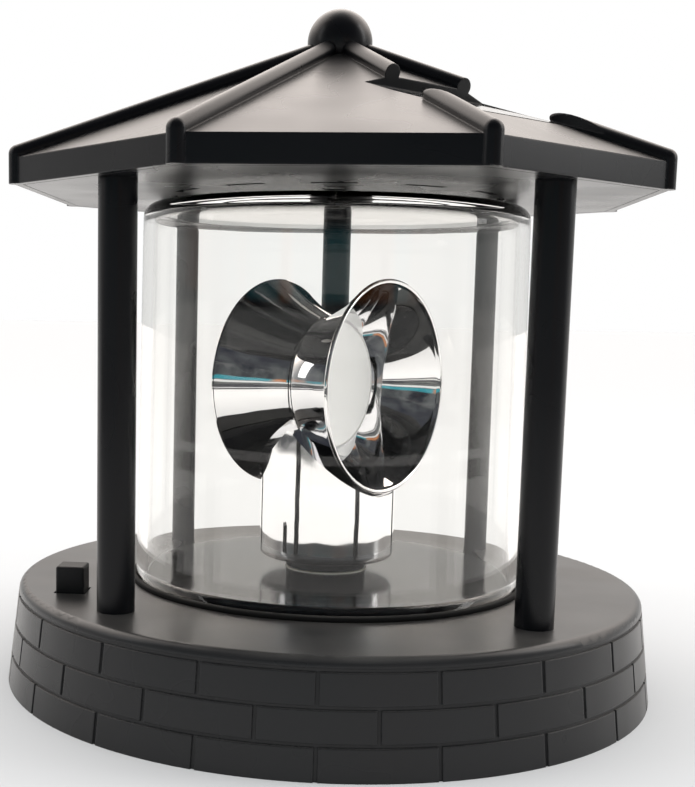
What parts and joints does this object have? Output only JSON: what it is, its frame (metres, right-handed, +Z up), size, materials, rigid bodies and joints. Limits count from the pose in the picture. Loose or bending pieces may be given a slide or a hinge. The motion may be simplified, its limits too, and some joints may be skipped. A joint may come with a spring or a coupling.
{
  "type": "solar garden light",
  "caption": "Small solar lantern: brick-relief drum base, clear cylinder, round posts and faceted roof with a solar panel; a chromed horn reflector turns inside.",
  "frame": {"origin": "middle of the base's underside, on the surface it stands on", "axes": "+Z up along the turning axis; -Y is the front; +X is to the right seen from the front"},
  "size_m": [0.1246, 0.1246, 0.1275],
  "materials": {
    "black_abs": "satin moulded black ABS",
    "black_disc": "polished moulded black ABS",
    "clear": "clear moulded polystyrene",
    "gasket": "soft black seal",
    "chrome": "vacuum-plated mirror",
    "lens_white": "milky diffuser",
    "screw_steel": "zinc-plated steel",
    "spring_steel": "drawn spring wire",
    "acetal": "natural acetal gear",
    "bush": "acetal bush",
    "motor_steel": "pressed steel can",
    "led": "water-clear epoxy",
    "panel_back": "fibreglass board",
    "cells": "dark silicon",
    "panel_glaze": "epoxy over the cells",
    "board_green": "solder mask",
    "chip_black": "moulded epoxy",
    "capacitor_sleeve": "shrink sleeve",
    "button_black": "fine texture",
    "switch_plastic": "moulded nylon",
    "battery_wrap": "plain printed sleeve, no lettering",
    "mast_plastic": "white ABS tube"
  },
  "bodies": {
    "lamp": {"base_drum": "black_abs", "battery_cell": "battery_wrap", "battery_tray": "switch_plastic", "bearing_bush": "bush", "board_screws": "screw_steel", "bottom_cover": "black_abs", "bottom_screws": "screw_steel", "button_spring": "spring_steel", "capacitor": "capacitor_sleeve", "clear_cover": "clear", "contact_plate": "spring_steel", "contact_spring": "spring_steel", "control_board": "board_green", "control_chip": "chip_black", "cover_gasket": "gasket", "deck_plate": "black_disc", "finial": "black_abs", "gear_axle": "screw_steel", "gear_plate": "black_abs", "gear_plate_screws": "screw_steel", "led_lamp": "led", "led_mast": "mast_plastic", "motor_can": "motor_steel", "post_foot_screws": "screw_steel", "post_front_left": "black_abs", "post_front_right": "black_abs", "post_head_screws": "screw_steel", "post_rear_left": "black_abs", "post_rear_right": "black_abs", "roof_shell": "black_abs", "soffit_plate": "black_abs", "soffit_screws": "screw_steel", "solar_backing": "panel_back", "solar_cells": "cells", "solar_glaze": "panel_glaze", "switch_body": "switch_plastic", "wire_post": "black_abs"},
    "rotor": {"rotor_hub": "black_abs", "drive_gear": "acetal", "hub_screws": "screw_steel", "reflector_stem": "chrome", "horn_front": "chrome", "horn_rear": "chrome", "lens_front": "lens_white", "lens_rear": "lens_white"},
    "idler": {"idler_gear": "acetal"},
    "motor_rotor": {"motor_shaft": "screw_steel", "motor_pinion": "acetal"},
    "button": {"button_cap": "button_black", "switch_plunger": "switch_plastic"}
  },
  "joints": [
    {"name": "rotor_spin", "type": "hinge", "parent": "lamp", "child": "rotor", "pos_m": [0, 0, 0.021], "axis": [0, 0, 1], "continuous": true},
    {"name": "idler_spin", "type": "hinge", "parent": "lamp", "child": "idler", "pos_m": [0, 0.0132, 0.006], "axis": [0, 0, 1], "continuous": true},
    {"name": "motor_spin", "type": "hinge", "parent": "lamp", "child": "motor_rotor", "pos_m": [0, 0.0252, 0.006], "axis": [0, 0, 1], "continuous": true},
    {"name": "button_press", "type": "slide", "parent": "lamp", "child": "button", "axis": [0, 0, -1], "range_m": [0, 0.0016], "stiffness_N_per_m": 400, "springref_m": -0.001, "deforming": ["button_spring"]}
  ],
  "couplings": [
    {"joint": "idler_spin", "follows": "rotor_spin", "ratio": -4.5},
    {"joint": "motor_spin", "follows": "rotor_spin", "ratio": 18}
  ]
}
